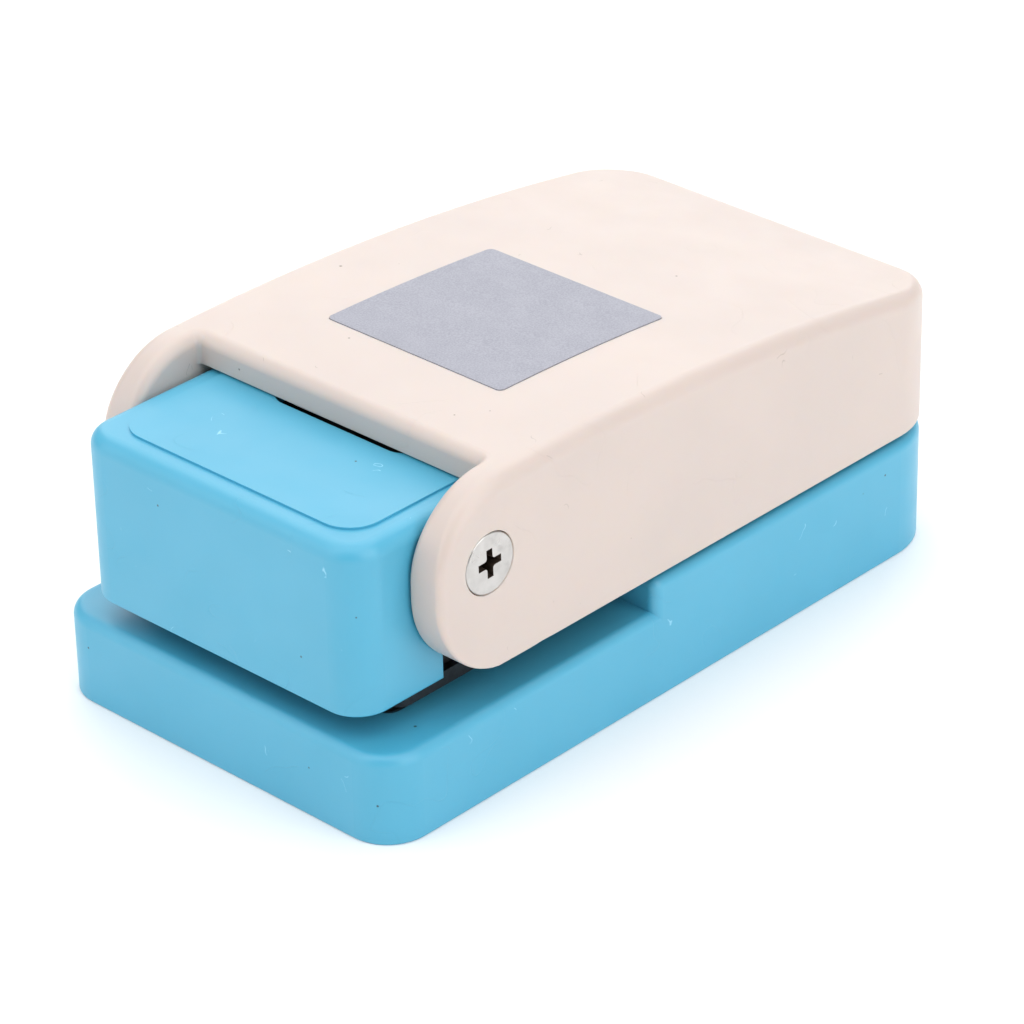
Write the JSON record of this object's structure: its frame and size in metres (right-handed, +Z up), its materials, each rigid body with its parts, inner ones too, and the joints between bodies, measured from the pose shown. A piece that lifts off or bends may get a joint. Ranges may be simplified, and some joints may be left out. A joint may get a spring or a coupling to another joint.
{
  "type": "craft punch",
  "caption": "Lever-operated craft punch that cuts a square from card: rounded blue base and head, curved cream lever hinged at the front, sprung steel punch and die inside.",
  "frame": {"origin": "on the standing plane, under the centre of the base", "axes": "+X to the user's right, -Y towards the front where the card goes in, +Z up"},
  "size_m": [0.05, 0.0906, 0.037],
  "materials": {
    "blue_plastic": "satin moulded",
    "cream_plastic": "satin moulded",
    "silver_foil": "fine metallic grain",
    "nickel_steel": "bright nickel plate",
    "zinc_steel": "zinc plated",
    "ground_steel": "ground",
    "spring_steel": "drawn wire",
    "black_steel": "black, satin",
    "black_nylon": "matt"
  },
  "bodies": {
    "base": {"base_shell": "blue_plastic", "bottom_cover": "blue_plastic", "bottom_cover_screws": "zinc_steel", "die_plate": "ground_steel", "die_screws": "zinc_steel", "gap_spacer": "ground_steel", "guide_plate": "black_steel", "punch_frame": "black_steel", "frame_rivets": "zinc_steel", "guide_block": "black_nylon", "guide_block_screws": "zinc_steel", "head_cover": "blue_plastic", "head_cover_screws": "zinc_steel", "pivot_shaft": "zinc_steel", "pivot_screws": "nickel_steel", "return_springs": "spring_steel", "catch_clip": "spring_steel", "catch_screw": "zinc_steel"},
    "punch": {"punch_block": "ground_steel", "push_cap": "black_nylon", "punch_screw": "zinc_steel"},
    "lever": {"lever_shell": "cream_plastic", "label_plate": "silver_foil", "press_bar": "zinc_steel"}
  },
  "joints": [
    {"name": "lever_pivot", "type": "hinge", "parent": "base", "child": "lever", "pos_m": [0, -0.02976, 0.02762], "axis": [1, 0, 0], "range_deg": [0, 22]},
    {"name": "punch_slide", "type": "slide", "parent": "base", "child": "punch", "axis": [0, 0, 1], "range_m": [0, 0.0029], "deforming": ["return_springs"]}
  ],
  "couplings": [
    {"joint": "punch_slide", "follows": "lever_pivot", "m_per_rad": 0.0075}
  ]
}
